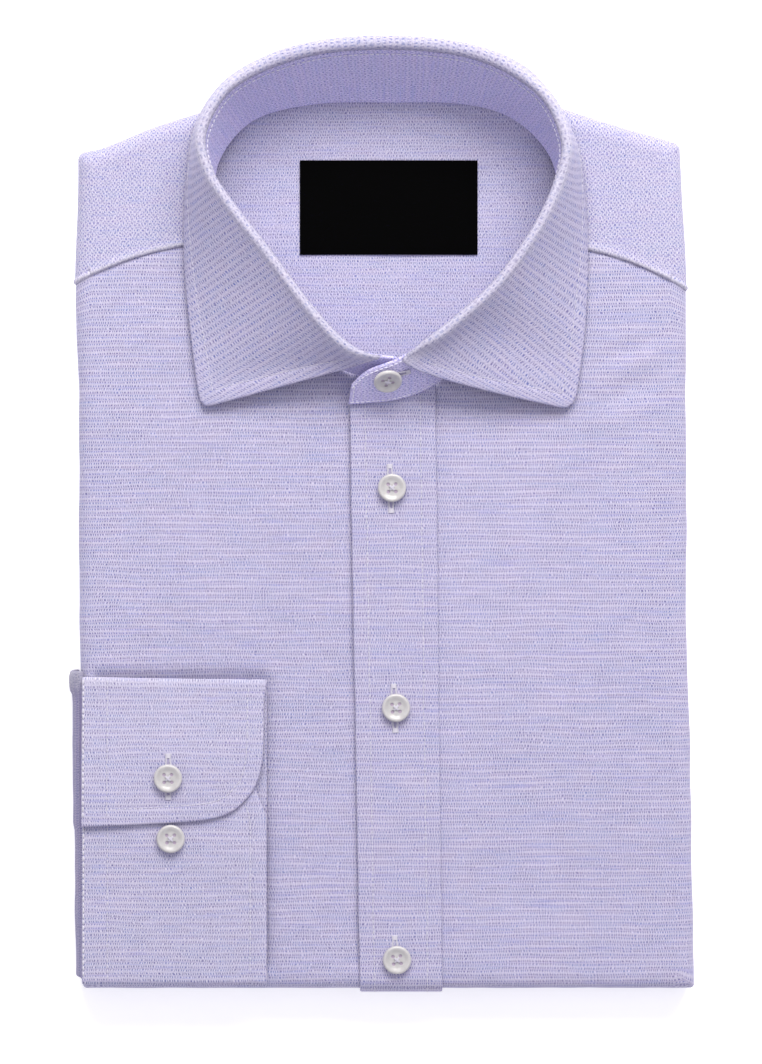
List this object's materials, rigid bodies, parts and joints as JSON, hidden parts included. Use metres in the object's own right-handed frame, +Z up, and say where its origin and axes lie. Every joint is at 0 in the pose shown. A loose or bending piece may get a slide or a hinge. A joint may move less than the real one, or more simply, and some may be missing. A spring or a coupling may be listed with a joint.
{
  "type": "folded long-sleeve shirt",
  "caption": "Long-sleeve button-up shirt in a slubbed canvas weave, folded flat for a shelf, collar up and one cuff laid on the front.",
  "frame": {"origin": "on the flat underside, in the middle of the folded shirt's width and length", "axes": "+Y up the shirt to the collar, +X across it to the wearer's left, +Z up from the surface that it lies on"},
  "size_m": [0.248, 0.3794, 0.049],
  "materials": {
    "shirting": "matte woven cotton, white slub ribs over a lilac ground",
    "label": "black woven satin, bare",
    "button": "polished pearly resin, four holes"
  },
  "bodies": {
    "root": {"folded_layers": "shirting", "right_front": "shirting", "left_front": "shirting", "placket": "shirting", "yoke": "shirting", "inner_yoke": "shirting", "neck_label": "label", "collar_band": "shirting", "collar_leaf": "shirting", "right_sleeve": "shirting", "right_cuff": "shirting", "collar_button": "button", "placket_button_1": "button", "placket_button_2": "button", "placket_button_3": "button", "cuff_button_1": "button", "cuff_button_2": "button"}
  },
  "joints": []
}
